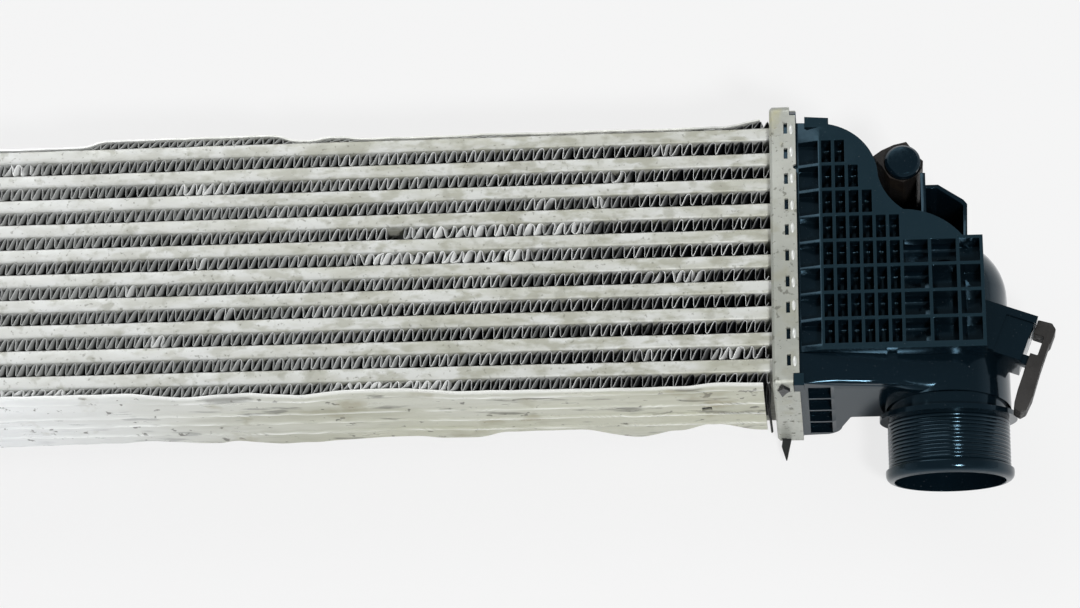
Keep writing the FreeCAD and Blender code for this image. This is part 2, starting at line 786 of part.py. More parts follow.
def tongue_outline():
    width = size("lug_width")
    length = size("lug_length")
    end = length + size("tongue_length")
    return [lug_point(*pair) for pair in (
        (width - 3, length - 5), (width + 9.5, length - 5), (width + 10.0, end),
        (width + 7.0, end), (width + 6.0, length), (width - 3, length))]


def add_lug(body, side):
    block = new_sketch(body, "lug_block", "XY_Plane", size("lug_bottom"))
    width = size("lug_width")
    length = size("lug_length")
    draw(block, place(side, [lug_point(*p) for p in (
        (-14, 0), (width + 1, 0), (width + 1, 4), (width, 4), (width, length), (-14, length))]))
    pad(body, block, "Sizes.lug_top - Sizes.lug_bottom")
    step = new_sketch(body, "lug_step", "XY_Plane", size("lug_top"))
    draw(step, place(side, [lug_point(*p) for p in (
        (2, 4), (width + 2, 4), (width + 2, length + 2), (2, length + 2))]))
    pocket(body, step, "2")
    tongue = new_sketch(body, "lug_tongue", "XY_Plane", tongue_low)
    draw(tongue, place(side, tongue_outline()))
    pad(body, tongue, "%.3f" % (tongue_high - tongue_low))


tongue_low = size("isolator_bottom") + 2.5
tongue_high = size("isolator_top") - 2.5


def make_bush():
    # A worn rubber block pushed over the peg, torn at its outer corners.
    body = new_body("peg_bush")
    outline = new_sketch(body, "bush_outline", "XY_Plane", size("bush_bottom"))
    draw(outline, place(1, [peg_point(*pair) for pair in (
        (-10.6, -1.5), (-15.4, 4.5), (-10.8, 7.9), (-4.3, 10.9), (2.2, 12.4), (8.2, 3.5),
        (10.6, 1.1), (10.1, -2.9), (6.8, -7.5), (0.0, -10.6), (-7.0, -8.1))]))
    pad(body, outline, "Sizes.bush_top - Sizes.bush_bottom")
    hole = new_sketch(body, "bush_hole", "XY_Plane", size("bush_top"))
    bound_circle(hole, core_half + peg_x, peg_y, "Sizes.peg_radius + Sizes.fit_gap")
    pocket(body, hole, "Sizes.bush_top - Sizes.bush_bottom")


def make_isolator():
    # A worn rubber sleeve that wraps the lug's tongue.
    body = new_body("lug_isolator")
    outline = new_sketch(body, "isolator_outline", "XY_Plane", size("isolator_bottom"))
    width = size("lug_width")
    length = size("lug_length")
    end = length + size("tongue_length")
    draw(outline, place(1, [lug_point(*pair) for pair in (
        (width + 1.3, 0.5), (width + 8.5, 0.0), (width + 11.3, 2.5), (width + 11.3, 10.5),
        (width + 10.6, 11.5), (width + 10.9, length), (width + 11.9, end - 6), (width + 11.2, end + 2),
        (width + 9.0, end + 4.5), (width + 5.2, end + 3.5), (width + 4.2, end), (width + 3.6, end - 7),
        (width + 3.4, length + 6),
        (width + 3.2, length + 3), (width + 3.2, length - 6), (width + 7.0, length - 6),
        (width + 7.0, 8.5), (width + 1.3, 8.5))]))
    pad(body, outline, "Sizes.isolator_top - Sizes.isolator_bottom")
    slot = new_sketch(body, "isolator_slot", "XY_Plane", tongue_high)
    draw(slot, place(1, tongue_outline()))
    pocket(body, slot, "%.3f" % (tongue_high - tongue_low))


for number in range(tube_count):
    make_tube(number)
    make_inner_fin(number)
for number in range(tube_count + 1):
    make_air_fin(number)
make_near_plate()
make_far_plate()
make_header("right_header", 1)
make_header("left_header", -1)
make_gasket("right_gasket", 1)
make_gasket("left_gasket", -1)
make_tank("right_tank", 1, True)
make_tank("left_tank", -1, False)
make_bush()
make_isolator()
doc.recompute()

# The frame's origin lies under the middle of the whole part, on the surface it rests on.
points = []
for node in nodes:
    points += node.Shape.tessellate(0.1)[0]
lows = [min(point[axis] for point in points) for axis in range(3)]
highs = [max(point[axis] for point in points) for axis in range(3)]
origin = Vector((lows[0] + highs[0]) / 2, (lows[1] + highs[1]) / 2, lows[2])
for node in nodes:
    node.Placement = Placement(-origin, Rotation())
doc.recompute()

for item in doc.Objects:
    if "Invalid" in item.State or "Error" in item.State:
        raise RuntimeError("%s failed: %s" % (item.Label, item.State))
os.makedirs("parts", exist_ok=True)
for node in nodes:
    if node.Shape.isNull() or not node.Shape.isValid() or not node.Shape.Solids:
        raise RuntimeError("%s has no valid solid" % node.Label)
for node in nodes:
    node.Shape.exportStep("parts/%s.step" % node.Label)
    print("%-20s %d solid(s) %.1f cm3" % (node.Label, len(node.Shape.Solids), node.Shape.Volume / 1000))
spans = [high - low for low, high in zip(lows, highs)]
print("overall %.1f x %.1f x %.1f mm" % tuple(spans))
print("origin %.4f %.4f %.4f" % tuple(origin))
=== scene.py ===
import json
import math

import bmesh
import bpy
import numpy as np
from mathutils import Matrix, Vector


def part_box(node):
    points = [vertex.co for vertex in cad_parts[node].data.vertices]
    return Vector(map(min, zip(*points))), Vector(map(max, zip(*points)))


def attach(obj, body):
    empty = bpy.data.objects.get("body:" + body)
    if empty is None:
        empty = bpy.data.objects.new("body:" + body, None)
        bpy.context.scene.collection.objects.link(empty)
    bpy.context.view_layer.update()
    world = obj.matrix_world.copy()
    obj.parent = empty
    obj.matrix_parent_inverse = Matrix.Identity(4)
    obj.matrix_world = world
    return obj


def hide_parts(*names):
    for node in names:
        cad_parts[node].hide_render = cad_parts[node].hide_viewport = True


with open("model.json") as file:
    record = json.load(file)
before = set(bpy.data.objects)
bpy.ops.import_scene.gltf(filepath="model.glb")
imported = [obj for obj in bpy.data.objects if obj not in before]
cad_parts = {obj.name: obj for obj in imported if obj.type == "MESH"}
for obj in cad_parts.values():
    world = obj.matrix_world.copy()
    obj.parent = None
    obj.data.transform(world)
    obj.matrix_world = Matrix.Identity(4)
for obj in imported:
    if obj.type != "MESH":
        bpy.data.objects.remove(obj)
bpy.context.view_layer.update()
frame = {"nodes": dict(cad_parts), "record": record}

# A used charge air cooler lying flat. Local millimetres: x from the right tray's core side,
# y from the middle row of tubes, z up from the floor. The left end is the right one mirrored.
mm = 0.001
trayLow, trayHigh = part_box("right_header")
origin = np.array([trayLow.x, (trayLow.y + trayHigh.y) / 2, trayLow.z])
coreLength = (trayLow.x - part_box("left_header")[1].x) / mm
rows = dict(tubes=10, pitch=14.5, tubeHeight=7.5, gap=7.0, floor=6.0, top=76.0)
# Edges between faces that differ by more than this angle are bevelled.
bevelAngle = math.radians(30)
# The x that noises are defined for.
noiseSpan = (-900, 1100)


def toWorld(points):
    return np.asarray(points, float) * mm + origin


def mirrored(points):
    # The same shape on the left end.
    turned = np.array(points, float)
    turned[..., 0] = -coreLength - turned[..., 0]
    return turned


def rowLow(index):
    # Lower y of the fin row under tube number index, counted from the near side.
    return (index - (rows["tubes"] - 1) / 2) * rows["pitch"] - rows["tubeHeight"] / 2 - rows["gap"]


def noiseAlong(x, kind, number=0):
    # Random values joined by cosine ramps. The kind is (millimetres between the values, seed,
    # strength), and things that come in numbers add their number to the seed.
    step, seed, strength = kind
    count = int((noiseSpan[1] - noiseSpan[0]) / step) + 8
    knots = np.random.default_rng(seed + number).uniform(-1, 1, count)
    place = (np.asarray(x, float) - noiseSpan[0]) / step
    left = np.floor(place).astype(int)
    share = (1 - np.cos((place - left) * math.pi)) / 2
    return strength * (knots[left] * (1 - share) + knots[left + 1] * share)


def smoothStep(x, start, end):
    # Rises smoothly from nought at the start to one at the end.
    share = np.clip((np.asarray(x, float) - start) / (end - start), 0, 1)
    return share * share * (3 - 2 * share)


def smoothPath(x, knots):
    # Values given at a few places, joined by cosine ramps.
    places = np.array([place for place, value in knots], float)
    values = np.array([value for place, value in knots], float)
    x = np.clip(x, places[0], places[-1] - 0.001)
    left = np.clip(np.searchsorted(places, x, side="right") - 1, 0, len(places) - 2)
    share = (x - places[left]) / (places[left + 1] - places[left])
    share = (1 - np.cos(share * math.pi)) / 2
    return values[left] * (1 - share) + values[left + 1] * share


def between(x, start, end, soft):
    # One inside the span and nought outside, with soft ends.
    x = np.asarray(x, float)
    before = np.exp(np.clip((start - x) / soft, -60, 60))
    after = np.exp(np.clip((x - end) / soft, -60, 60))
    return 1 / (1 + before) / (1 + after)


# Surfaces

def gridFaces(across, along, wrapAcross=False, wrapAlong=False):
    # Quads over a grid of points stored row by row.
    a = np.arange(across if wrapAcross else across - 1)
    b = np.arange(along if wrapAlong else along - 1)
    a, b = np.meshgrid(a, b, indexing="ij")
    aNext = (a + 1) % across
    bNext = (b + 1) % along
    quads = np.stack([a * along + b, aNext * along + b, aNext * along + bNext, a * along + bNext], -1)
    return quads.reshape(-1, 4)


def rimQuads(first, last, shift):
    # Quads from an edge of the front sheet to the same edge of the back one.
    return np.stack([first, last, last + shift, first + shift], -1)


def sheetSolid(front, back, kept=None):
    # Two sheets over the same grid joined at their rim. The mask kept leaves out cells, which
    # makes holes with walls.
    across, along = front.shape[:2]
    if kept is None:
        kept = np.ones((across - 1, along - 1), bool)
    number = np.arange(across * along).reshape(across, along)
    shift = across * along
    a, b = np.nonzero(kept)
    quads = [np.stack([number[a, b], number[a + 1, b], number[a + 1, b + 1], number[a, b + 1]], -1)]
    quads.append(quads[0][:, ::-1] + shift)
    padded = np.pad(kept, 1)
    a, b = np.nonzero(padded[1:, 1:-1] != padded[:-1, 1:-1])
    quads.append(rimQuads(number[a, b], number[a, b + 1], shift))
    a, b = np.nonzero(padded[1:-1, 1:] != padded[1:-1, :-1])
    quads.append(rimQuads(number[a, b], number[a + 1, b], shift))
    return np.concatenate([front.reshape(-1, 3), back.reshape(-1, 3)]), np.concatenate(quads)


def joined(parts):
    # Several surfaces as one: a list of (vertices, faces).
    vertices = []
    faces = []
    start = 0
    for points, quads in parts:
        vertices.append(np.asarray(points).reshape(-1, 3))
        faces.append(np.asarray(quads) + start)
        start += len(vertices[-1])
    return np.concatenate(vertices), np.concatenate(faces)


def cappedFaces(sections, around):
    # Faces over closed sections in a row, with a flat face at each end.
    faces = [tuple(face) for face in gridFaces(sections, around, wrapAlong=True)]
    faces.append(tuple(range(around)))
    faces.append(tuple(range((sections - 1) * around, sections * around)))
    return faces


def lathe(profile, foot, direction, steps):
    # A closed profile of (along, radius) turned about the line from foot in direction.
    profile = np.asarray(profile, float)
    axis = np.array(direction, float) / np.linalg.norm(direction)
    side = np.cross(axis, [0, 0, 1.0])
    side /= np.linalg.norm(side)
    up = np.cross(side, axis)
    turn = np.linspace(0, 2 * math.pi, steps, endpoint=False)[:, None, None]
    ring = side * np.cos(turn) + up * np.sin(turn)
    points = np.array(foot) + axis * profile[None, :, :1] + ring * profile[None, :, 1:]
    return points.reshape(-1, 3), gridFaces(steps, len(profile), True, True)


def addObject(name, data):
    thing = bpy.data.objects.new(name, data)
    bpy.context.scene.collection.objects.link(thing)
    return thing


def makePiece(name, surface, material, replaced=(), sharp=35, marks=None):
    vertices, faces = surface
    mesh = bpy.data.meshes.new(name)
    mesh.from_pydata(toWorld(vertices).tolist(), [], [tuple(f) for f in faces])
    cleaned = bmesh.new()
    cleaned.from_mesh(mesh)
    bmesh.ops.recalc_face_normals(cleaned, faces=cleaned.faces)
    cleaned.to_mesh(mesh)
    cleaned.free()
    # Marks say how much of the material's lighter tint, for wear and painted highlights, each point gets.
    if marks is not None:
        worn = mesh.attributes.new("worn", "FLOAT", "POINT")
        worn.data.foreach_set("value", np.asarray(marks, np.float32))
    return addPiece(name, mesh, material, replaced, sharp)


def addPiece(name, mesh, material, replaced=(), sharp=35):
    mesh.shade_smooth()
    mesh.set_sharp_from_angle(angle=math.radians(sharp))
    mesh.materials.clear()
    mesh.materials.append(material)
    piece = addObject(name, mesh)
    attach(piece, "root")
    if replaced:
        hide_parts(*replaced)
    return piece


def bevel(piece, width, segments, weighted=False):
    modifier = piece.modifiers.new("edges", "BEVEL")
    modifier.width = width * mm
    modifier.segments = segments
    modifier.limit_method = "WEIGHT" if weighted else "ANGLE"
    modifier.angle_limit = bevelAngle
    modifier.use_clamp_overlap = True


def cadCopy(name, node, material, weights=None):
    # The node's own mesh with its flat faces joined again, as a piece that can be bevelled.
    # The function weights gives each sharp edge its share of the bevel from its local ends.
    mesh = frame["nodes"][node].data.copy()
    mesh.name = name
    shape = bmesh.new()
    shape.from_mesh(mesh)
    bmesh.ops.remove_doubles(shape, verts=shape.verts, dist=0.005 * mm)
    bmesh.ops.dissolve_limit(shape, angle_limit=math.radians(1.0), verts=shape.verts, edges=shape.edges)
    if weights:
        layer = shape.edges.layers.float.new("bevel_weight_edge")
        for edge in shape.edges:
            if len(edge.link_faces) == 2 and edge.calc_face_angle(0) > bevelAngle:
                ends = [(np.array(vertex.co) - origin) / mm for vertex in edge.verts]
                edge[layer] = weights(*ends)
    shape.to_mesh(mesh)
    shape.free()
    return addPiece(name, mesh, material, (node,))


# Materials: noise in object coordinates, with all values of a material beside each other.
# stains: (scale, low, high, tint, strength), mixed in as the noise rises from low to high; specks
# are the same without the stretch. fades: (axis, start, end, tint) in local millimetres. The tint
# of marked points is lighter and stands for wear and for painted highlights. grain: the scale of the fine
# noise that makes the roughness uneven
# and the surface bumpy. sheen: the tint of reflections.

def makeMaterial(name, look):
    material = bpy.data.materials.new(name)
    material.use_nodes = True
    nodes = material.node_tree.nodes
    links = material.node_tree.links
    shader = nodes["Principled BSDF"]
    shader.inputs["Metallic"].default_value = look.get("metallic", 0.0)
    shader.inputs["Specular IOR Level"].default_value = look.get("specular", 0.5)
    shader.inputs["Specular Tint"].default_value = (*look.get("sheen", (1, 1, 1)), 1)
    place = nodes.new("ShaderNodeTexCoord")
    stretch = nodes.new("ShaderNodeMapping")
    stretch.inputs["Scale"].default_value = look.get("stretch", (1, 1, 1))
    links.new(place.outputs["Object"], stretch.inputs["Vector"])
    color = None

    def noise(scale, detail, source=stretch.outputs["Vector"]):
        texture = nodes.new("ShaderNodeTexNoise")
        texture.inputs["Scale"].default_value = scale
        texture.inputs["Detail"].default_value = detail
        links.new(source, texture.inputs["Vector"])
        return texture.outputs["Fac"]

    def ramp(value, low, high, first, last, soft=False):
        span = nodes.new("ShaderNodeMapRange")
        span.interpolation_type = "SMOOTHSTEP" if soft else "LINEAR"
        span.inputs["From Min"].default_value = low
        span.inputs["From Max"].default_value = high
        span.inputs["To Min"].default_value = first
        span.inputs["To Max"].default_value = last
        links.new(value, span.inputs["Value"])
        return span.outputs["Result"]

    def blend(factor, tint):
        mix = nodes.new("ShaderNodeMix")
        mix.data_type = "RGBA"
        links.new(factor, mix.inputs["Factor"])
        if color is None:
            mix.inputs["A"].default_value = (*look["color"], 1)
        else:
            links.new(color, mix.inputs["A"])
        mix.inputs["B"].default_value = (*tint, 1)
        return mix.outputs["Result"]

    for scale, low, high, tint, strength in look.get("stains", []):
        color = blend(ramp(noise(scale, 5), low, high, 0, strength), tint)
    for axis, start, end, tint in look.get("fades", []):
        split = nodes.new("ShaderNodeSeparateXYZ")
        links.new(place.outputs["Object"], split.inputs["Vector"])
        shift = origin["XYZ".index(axis)]
        low, high = sorted([start, end])
        first = 0 if start < end else 1
        share = ramp(split.outputs[axis], low * mm + shift, high * mm + shift, first, 1 - first, True)
        color = blend(share, tint)
    for scale, low, high, tint, strength in look.get("specks", []):
        color = blend(ramp(noise(scale, 3, place.outputs["Object"]), low, high, 0, strength), tint)
    # Marked points get the lighter tint, which stands for wear and for painted highlights.
    if "worn" in look:
        marks = nodes.new("ShaderNodeAttribute")
        marks.attribute_name = "worn"
        color = blend(marks.outputs["Fac"], look["worn"])
    if color is None:
        shader.inputs["Base Color"].default_value = (*look["color"], 1)
    else:
        links.new(color, shader.inputs["Base Color"])
    grain = noise(look.get("grain", 300), 4)
    middle = look.get("roughness", 0.5)
    spread = look.get("uneven", 0.05)
    links.new(ramp(grain, 0.3, 0.7, max(middle - spread, 0.02), middle + spread), shader.inputs["Roughness"])
    if look.get("bump"):
        bump = nodes.new("ShaderNodeBump")
        bump.inputs["Strength"].default_value = look["bump"]
        bump.inputs["Distance"].default_value = look.get("depth", 0.0003)
        links.new(grain, bump.inputs["Height"])
        links.new(bump.outputs["Normal"], shader.inputs["Normal"])
    return material


looks = {
    "tube": dict(color=(0.44, 0.445, 0.40), roughness=0.5, metallic=0.25, grain=260, uneven=0.12, bump=0.3,
                 stretch=(0.45, 1, 1),
                 stains=[(14, 0.42, 0.68, (0.36, 0.36, 0.29), 0.8),
                         (110, 0.42, 0.60, (0.54, 0.55, 0.53), 0.8),
                         (190, 0.48, 0.62, (0.31, 0.31, 0.25), 0.8)],
                 specks=[(130, 0.57, 0.68, (0.30, 0.30, 0.25), 0.6),
                         (420, 0.62, 0.70, (0.16, 0.16, 0.13), 0.6)],
                 fades=[("X", -120, -620, (0.66, 0.67, 0.66))]),
    "fin": dict(color=(0.40, 0.41, 0.40), roughness=0.45, metallic=0.25, grain=900, uneven=0.12,
                stains=[(30, 0.4, 0.7, (0.28, 0.29, 0.28), 0.8),
                        (160, 0.5, 0.7, (0.56, 0.57, 0.56), 0.7)],
                # Marked points get this near white, partly rubbed metal and partly a painted highlight on the
                # upper edges.
                worn=(0.95, 0.96, 0.95),
                # Painted shade: the fins darken to near black from z 74.2 down to 68.5, deep between the
                # tubes, and towards the right end, where the core lies in shade.
                fades=[("Z", 74.2, 68.5, (0.008, 0.009, 0.010)), ("X", -190, -45, (0.005, 0.006, 0.008))]),
    "tray": dict(color=(0.31, 0.32, 0.285), roughness=0.38, metallic=0.35, grain=420, uneven=0.12, bump=0.3,
                 stains=[(22, 0.45, 0.65, (0.41, 0.42, 0.38), 0.9),
                         (90, 0.52, 0.68, (0.29, 0.29, 0.23), 0.8),
                         (35, 0.64, 0.74, (0.40, 0.37, 0.18), 0.7)],
                 specks=[(300, 0.62, 0.68, (0.10, 0.10, 0.08), 0.7)],
                 # The marked points, the crimp bumps, get this lighter tint as a painted highlight.
                 worn=(0.80, 0.82, 0.80)),
    "plate": dict(color=(0.46, 0.465, 0.42), roughness=0.40, metallic=0.3, grain=260, uneven=0.15, bump=0.4,
                  # Marked points get this lighter tint: a painted highlight on the rib crests, and on the top
                  # strips partly rubbed metal and partly painted highlight.
                  stretch=(0.2, 1, 1), worn=(0.88, 0.89, 0.87),
                  stains=[(16, 0.42, 0.66, (0.40, 0.40, 0.30), 0.85),
                          (60, 0.52, 0.68, (0.30, 0.30, 0.23), 0.8),
                          (150, 0.60, 0.66, (0.10, 0.10, 0.08), 0.75)],
                  specks=[(170, 0.655, 0.70, (0.06, 0.056, 0.045), 0.75),
                          (45, 0.60, 0.72, (0.24, 0.22, 0.14), 0.6)],
                  # Painted light: the plate turns near white towards its left end, where the light falls on
                  # it brightest.
                  fades=[("X", -215, -500, (0.80, 0.815, 0.83))]),
    "plastic": dict(color=(0.0016, 0.0046, 0.0075), roughness=0.14, grain=500, uneven=0.05, bump=0.04,
                    specular=0.34, sheen=(0.42, 0.76, 1.0),
                    stains=[(16, 0.4, 0.7, (0.0016, 0.0038, 0.0055), 0.8)],
                    specks=[(1100, 0.70, 0.76, (0.10, 0.11, 0.12), 0.5)],
                    fades=[("Z", 81.6, 82.9, (0.0065, 0.0150, 0.0205))]),
    "rubber": dict(color=(0.006, 0.005, 0.0045), roughness=0.55, grain=700, uneven=0.15, bump=0.6,
                   specular=0.3, stains=[(60, 0.5, 0.7, (0.022, 0.015, 0.009), 0.8)]),
    "isolator": dict(color=(0.014, 0.013, 0.012), roughness=0.55, grain=600, uneven=0.15, bump=0.8,
                     specular=0.3, stains=[(50, 0.45, 0.7, (0.060, 0.057, 0.054), 0.9),
                                           (25, 0.5, 0.7, (0.010, 0.009, 0.009), 0.9)]),
    "gasket": dict(color=(0.006, 0.007, 0.008), roughness=0.4, grain=700, uneven=0.1, bump=0.2),
}
materials = {name: makeMaterial(name, look) for name, look in looks.items()}
cadMaterial = {"tube_alloy": "tube", "fin_alloy": "fin", "plate_alloy": "plate", "tray_alloy": "tray",
               "gasket_rubber": "gasket", "tank_plastic": "plastic", "bush_rubber": "rubber",
               "isolator_rubber": "isolator"}
for subpart in frame["record"]["subparts"]:
    node = frame["nodes"][subpart["node"]]
    node.data.materials.clear()
    node.data.materials.append(materials[cadMaterial[subpart["material_slot"]]])
print("materials ready")


# Air fins: a folded ribbon with wide rounded folds on its far side. The ribbon wanders along x
# as it goes down, and its upper edge is bent at random. Levels are heights. Columns are points in
# each wave, wide and steep shape its folds, shear leans them, and hollow keeps them off the tubes.
# What comes as (millimetres, seed, strength), here and below, is a kind for noiseAlong.

fins = dict(pitch=5.2, columns=10, thickness=0.18, levels=(75.5, 73.8, 71.4, 68.4, 64.0, 57.0, 42.0, 6.0),
            wide=0.28, steep=1.45, shear=0.7, wander=0.7, wanderLength=44.0, hollow=0.25, start=-1.4,
            endRoom=0.3, phase=(23, 800, 0.25), ragged=(2.6, 100, 0.55), sway=(40, 200, 0.6),
            sag=(5.2, 500, 0.8), bendDeep=8.0, bendPower=1.4, leanFrom=58, leanTo=74, crushedTop=74.6,
            overPlate=2.0, gather=0.02, rubAndHighlight=(2.1, 250, 1.0), rubAndHighlightStrength=0.25, rubAndHighlightDeep=9.0, edge=0.45,
            edgeLeast=0.35, edgeFrom=-330, edgeTo=-130, edgeNoise=(4.3, 400, 1.0))
# Spans with fins bent hard over: row from the near side, from x, to x, strength.
bentSpans = [(0, -412, -360, 1.2), (0, -225, -162, 1.5), (1, -70, -63, 1.2), (1, -30, -9, 1.6),
             (2, -325, -315, 1.2), (3, -290, -280, 1.2), (4, -343, -334, 1.4), (4, -243, -236, 1.2),
             (4, -65, -35, 1.3), (5, -306, -297, 1.4), (5, -221, -122, 1.7), (6, -190, -93, 1.5),
             (7, -120, -108, 1.4), (7, -95, -83, 1.5), (8, -315, -285, 1.1), (8, -86, -68, 1.3),
             (9, -412, -393, 1.7), (9, -62, -51, 1.4)]
# Inside these spans the upper fins are painted lighter as well, partly rubbed metal and partly painted
# highlight.
bent = dict(soft=2, folds=(1.6, 300, 1.0), rubAndHighlight=(1.4, 350, 1.0), rubAndHighlightGain=3, rubAndHighlightBase=1.6)
# Spots with no fin left: row, x and half the width. Levels above the height sink by the depth.
missingSpots = [(6, -196.6, 3.2)]
missing = dict(deep=14, above=50)
# The crushed far row: from x, to x, width and softness of the spans that stay open at the top.
openSpans = [(-362, -258, 3.5, 2.2), (-238, -222, 1.5, 2.0), (-160, -142, 0.8, 2.5), (-13, 20, 4.6, 4.0)]
crushed = dict(gap=0.35, uneven=(17, 71, 0.35), leftSpan=(-640, -470, 3.0, 6), leftNoise=(60, 72, 1.0))


def farGap(x):
    # Width that is left of the crushed far row at its upper edge.
    gap = crushed["gap"] + np.abs(noiseAlong(x, crushed["uneven"]))
    for first, last, width, soft in openSpans:
        gap = gap + width * between(x, first, last, soft)
    first, last, width, soft = crushed["leftSpan"]
    return gap + width * between(x, first, last, soft) * noiseAlong(x, crushed["leftNoise"]) ** 2


def finWearAndHighlight(index, x):
    # How far the folds lean along x, how bright their upper parts are painted, partly rubbed metal and partly
    # painted highlight, and how deep they are gone.
    bend = noiseAlong(x, fins["ragged"], index) + noiseAlong(x, fins["sway"], index)
    worn = fins["rubAndHighlightStrength"] * np.clip(noiseAlong(x, fins["rubAndHighlight"], index) * 2 - 1, 0, 1)
    for row, first, last, strength in bentSpans:
        if row == index:
            inside = between(x, first, last, bent["soft"])
            bend = bend + inside * (strength * noiseAlong(x, bent["folds"], index) - 0.5 * strength)
            rubbedAndLit = noiseAlong(x, bent["rubAndHighlight"], index) * bent["rubAndHighlightGain"] + bent["rubAndHighlightBase"]
            worn = np.maximum(worn, inside * np.clip(rubbedAndLit, 0, 1))
    sink = np.zeros(len(x))
    for row, middle, half in missingSpots:
        if row == index:
            sink += missing["deep"] * np.exp(-((x - middle) / half) ** 4)
    return bend, worn, sink


def finRow(index):
    # The fold is a sine pushed off centre, then flattened by a hyperbolic tangent.
    start = fins["start"]
    waves = int((coreLength + 2 * start) / fins["pitch"])
    count = waves * fins["columns"] + 1
    x = np.linspace(-coreLength - start, start, count)
    turn = np.linspace(0, waves, count) + noiseAlong(x, fins["phase"], index)
    shape = np.sin(2 * math.pi * turn) + fins["wide"]
    limit = np.where(shape > 0, 1 + fins["wide"], 1 - fins["wide"])
    shape = np.tanh(fins["steep"] * shape) / np.tanh(fins["steep"] * limit)
    bend, worn, sink = finWearAndHighlight(index, x)
    lean = np.zeros(count)
    gapTop = np.full(count, rows["gap"])
    floorLine = np.full(count, rows["floor"])
    highest = rows["top"]
    if index == 0:
        lean = smoothPath(x, nearLean)
        gapTop = gapTop - lean
        floorLine = np.maximum(floorLine, lowerEdge(x) + fins["overPlate"])
    if index == rows["tubes"]:
        gapTop = farGap(x)
        highest = fins["crushedTop"]
    sag = np.abs(noiseAlong(x, fins["sag"], index))
    # Levels that would come under the floor line gather just over it.
    layers = []
    for z in fins["levels"]:
        share = np.clip(1 - (rows["top"] - z) / fins["bendDeep"], 0, 1) ** fins["bendPower"]
        height = np.minimum(z - sink * (z > missing["above"]) - share * sag, highest)
        height = np.maximum(height, floorLine + (z - rows["floor"]) * fins["gather"])
        upper = smoothStep(z, fins["leanFrom"], fins["leanTo"])
        wide = rows["gap"] + (gapTop - rows["gap"]) * upper
        hollow = np.minimum(fins["hollow"], wide / 4)
        y = rowLow(index) + lean * upper + wide / 2 + shape * (wide / 2 - hollow)
        dx = np.gradient(x)
        dy = np.gradient(y)
        offset = np.stack([-dy, dx], -1) / np.hypot(dx, dy)[:, None] * fins["thickness"] / 2
        along = x + fins["shear"] * shape + share * bend
        along = along + fins["wander"] * math.sin(2 * math.pi * (rows["top"] - z) / fins["wanderLength"])
        outer = np.stack([along + offset[:, 0], y + offset[:, 1], height], -1)
        inner = np.stack([along - offset[:, 0], y - offset[:, 1], height], -1)
        layers.append(np.concatenate([outer, inner[::-1]]))
    points = np.stack(layers)
    points[..., 0] = np.clip(points[..., 0], fins["endRoom"] - coreLength, -fins["endRoom"])
    levels = len(fins["levels"])
    around = 2 * count
    faces = [gridFaces(levels, around, wrapAlong=True)]
    strip = np.arange(count - 1)
    for base in (0, (levels - 1) * around):
        faces.append(np.stack([base + strip, base + strip + 1, base + around - 2 - strip,
                               base + around - 1 - strip], -1))
    return (points.reshape(-1, 3), np.concatenate(faces)), finMarks(index, x, worn)


def finMarks(index, x, worn):
    # Lighter places, partly rubbed metal and partly painted highlight, fade downwards. The painted highlight
    # along the upper edge grows to the right.
    fade = np.clip(1 - (rows["top"] - np.array(fins["levels"])) / fins["rubAndHighlightDeep"], 0, 1)
    marks = fade[:, None] * np.concatenate([worn, worn[::-1]])[None, :]
    growth = (1 - fins["edgeLeast"]) * smoothStep(x, fins["edgeFrom"], fins["edgeTo"])
    edge = fins["edge"] * (fins["edgeLeast"] + growth)
    edge = np.clip(edge * (1 + noiseAlong(x, fins["edgeNoise"], index)), 0, 1)
    marks[0] = np.maximum(marks[0], np.concatenate([edge, edge[::-1]]))
    return marks.ravel()


# Side plates: rolled sheet with pressed ribs, its edges knocked about. Zones are heights
# between which an effect sets in.

plate = dict(face=77.0, thick=0.9, end=-5.0, top=76.2, stations=420, levels=64,
             ribs=(70.0, 53.5, 40.5, 26.5), ribHigh=1.0, ribHalf=1.6, ribSway=(60, 64, 0.5),
             ribHighlight=0.65, ribHighlightNoise=(14, 90, 0.6), rubAndHighlight=0.55, rubAndHighlightZone=(72.5, 75.5),
             slot=(-37.6, -32.4, 43.4, 48.2), ripple=(12, 61, 0.25), rippleZone=(74, 76), leanZone=(60, 76),
             belly=(70, 62, 0.5), bellyZone=(60, 30), dents=(9, 63, 0.2), dentZone=(0, 1))
farSheet = dict(levels=(75.9, 75.0, 73.5, 71.0, 68.0, 64.0, 60.0, 56.0, 40.0, 9.0), stations=460,
                upright=76.0, bendZone=(57, 75), ripple=(7, 65, 0.3), ragged=(2.5, 66, 0.15),
                looseAbove=70, rubAndHighlight=0.5, rubAndHighlightZone=(70, 75))
# The near plate's lower edge, z at x, and how far its upper edge leans in, y at x.
nearLower = [(-607, 11), (-520, 14), (-420, 12.2), (-350, 14.5), (-336, 16.3), (-298, 12.5), (-286, 15.5),
             (-265, 10.5), (-190, 15.6), (-173, 12.4), (-160, 13.5), (-140, 21), (-104, 21.5), (-73, 9.1),
             (-52, 16.5), (-33, 25), (-7, 14.7), (-4.9, 14.7), (-4, 0)]
nearLean = [(-607, 0.3), (-480, 0.8), (-420, 3.1), (-338, 3.1), (-303, 0.5), (-274, 2.0), (-243, 0.3),
            (-216, 2.5), (-190, 2.6), (-160, 0.4), (-108, 0.0), (-45, 0.1), (-28, 1.5), (-7, 0.9)]


def lowerEdge(x):
    return smoothPath(x, nearLower)


